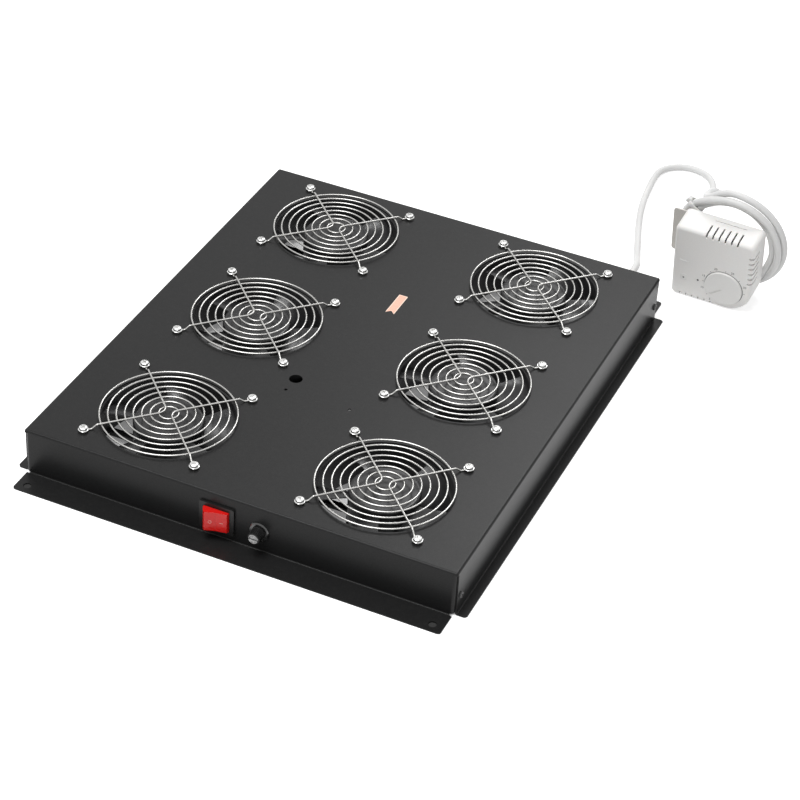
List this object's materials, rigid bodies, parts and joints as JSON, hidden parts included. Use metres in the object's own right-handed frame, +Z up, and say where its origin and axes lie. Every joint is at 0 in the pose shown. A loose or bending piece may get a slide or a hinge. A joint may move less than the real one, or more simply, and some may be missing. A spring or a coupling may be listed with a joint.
{
  "type": "rack fan tray",
  "caption": "Low folded-steel rack tray with ducted axial fans under wire finger guards, a lit rocker switch, a panel fuse holder and a wired wall thermostat.",
  "frame": {"origin": "centre of the four rack holes, on the underside of the flanges", "axes": "+X to the right seen from the switch side, +Y to the back, +Z up"},
  "size_m": [0.503, 0.7729, 0.1114],
  "materials": {
    "black_powder_coat": "matte fine texture",
    "black_cast_metal": "satin",
    "black_gloss_plastic": "gloss",
    "bright_nickel": "bright",
    "zinc_steel": "bright",
    "lamination_steel": "matte",
    "shaft_steel": "polished",
    "bearing_bronze": "satin",
    "black_screw": "black oxide",
    "black_matte_plastic": "satin",
    "red_rocker": "translucent red",
    "terminal_brass": "tinned",
    "fuse_glass": "clear",
    "white_plastic": "satin",
    "bracket_steel": "satin",
    "white_cord": "satin",
    "nylon_white": "satin"
  },
  "bodies": {
    "tray": {"tray_shell": "black_powder_coat", "tray_end_walls": "black_powder_coat", "tray_side_walls": "black_powder_coat", "corner_screws": "black_screw", "fan_frame_1": "black_cast_metal", "stator_1": "lamination_steel", "finger_guard_1": "bright_nickel", "fan_frame_2": "black_cast_metal", "stator_2": "lamination_steel", "finger_guard_2": "bright_nickel", "fan_frame_3": "black_cast_metal", "stator_3": "lamination_steel", "finger_guard_3": "bright_nickel", "fan_frame_4": "black_cast_metal", "stator_4": "lamination_steel", "finger_guard_4": "bright_nickel", "fan_frame_5": "black_cast_metal", "stator_5": "lamination_steel", "finger_guard_5": "bright_nickel", "fan_frame_6": "black_cast_metal", "stator_6": "lamination_steel", "finger_guard_6": "bright_nickel", "fan_bearings": "bearing_bronze", "guard_screws": "zinc_steel", "guard_nuts": "zinc_steel", "switch_housing": "black_matte_plastic", "blade_terminals": "terminal_brass", "fuse_holder_body": "black_matte_plastic", "fuse_holder_nut": "black_matte_plastic", "mains_inlet": "black_matte_plastic", "inlet_pins": "terminal_brass", "inlet_screws": "black_screw", "cord_bushing": "black_matte_plastic", "bushing_nut": "black_matte_plastic", "terminal_block": "white_plastic", "thermostat_cover": "white_plastic", "thermostat_base": "white_plastic", "thermostat_switch": "white_plastic", "thermostat_bracket": "bracket_steel", "bracket_screws": "zinc_steel", "cord_coil": "white_cord", "cable_tie": "nylon_white", "thermostat_cord": "white_cord"},
    "impeller_1_body": {"impeller_1": "black_gloss_plastic", "rotor_shaft_1": "shaft_steel"},
    "impeller_2_body": {"impeller_2": "black_gloss_plastic", "rotor_shaft_2": "shaft_steel"},
    "impeller_3_body": {"impeller_3": "black_gloss_plastic", "rotor_shaft_3": "shaft_steel"},
    "impeller_4_body": {"impeller_4": "black_gloss_plastic", "rotor_shaft_4": "shaft_steel"},
    "impeller_5_body": {"impeller_5": "black_gloss_plastic", "rotor_shaft_5": "shaft_steel"},
    "impeller_6_body": {"impeller_6": "black_gloss_plastic", "rotor_shaft_6": "shaft_steel"},
    "rocker_body": {"switch_rocker": "red_rocker"},
    "fuse_cap_body": {"fuse_cap": "black_matte_plastic", "fuse_link": "fuse_glass"},
    "dial_body": {"thermostat_dial": "white_plastic", "dial_spindle": "white_plastic"}
  },
  "joints": [
    {"name": "fan_1_spin", "type": "hinge", "parent": "tray", "child": "impeller_1_body", "pos_m": [-0.101, -0.164, 0.02], "axis": [0, 0, 1], "continuous": true},
    {"name": "fan_2_spin", "type": "hinge", "parent": "tray", "child": "impeller_2_body", "pos_m": [0.101, -0.164, 0.02], "axis": [0, 0, 1], "continuous": true},
    {"name": "fan_3_spin", "type": "hinge", "parent": "tray", "child": "impeller_3_body", "pos_m": [-0.101, 0, 0.02], "axis": [0, 0, 1], "continuous": true},
    {"name": "fan_4_spin", "type": "hinge", "parent": "tray", "child": "impeller_4_body", "pos_m": [0.101, 0, 0.02], "axis": [0, 0, 1], "continuous": true},
    {"name": "fan_5_spin", "type": "hinge", "parent": "tray", "child": "impeller_5_body", "pos_m": [-0.101, 0.164, 0.02], "axis": [0, 0, 1], "continuous": true},
    {"name": "fan_6_spin", "type": "hinge", "parent": "tray", "child": "impeller_6_body", "pos_m": [0.101, 0.164, 0.02], "axis": [0, 0, 1], "continuous": true},
    {"name": "rocker_tilt", "type": "hinge", "parent": "tray", "child": "rocker_body", "pos_m": [-0.0153, -0.239, 0.0213], "axis": [0, 0, 1], "range_deg": [-31, 0]},
    {"name": "fuse_cap_turn", "type": "hinge", "parent": "tray", "child": "fuse_cap_body", "pos_m": [0.0232, -0.24, 0.0208], "axis": [0, -1, 0], "range_deg": [0, 60]},
    {"name": "dial_turn", "type": "hinge", "parent": "tray", "child": "dial_body", "pos_m": [0.2487, 0.27982, 0.02473], "axis": [-0.0414, -0.9881, -0.1478], "range_deg": [-217, 23]}
  ]
}
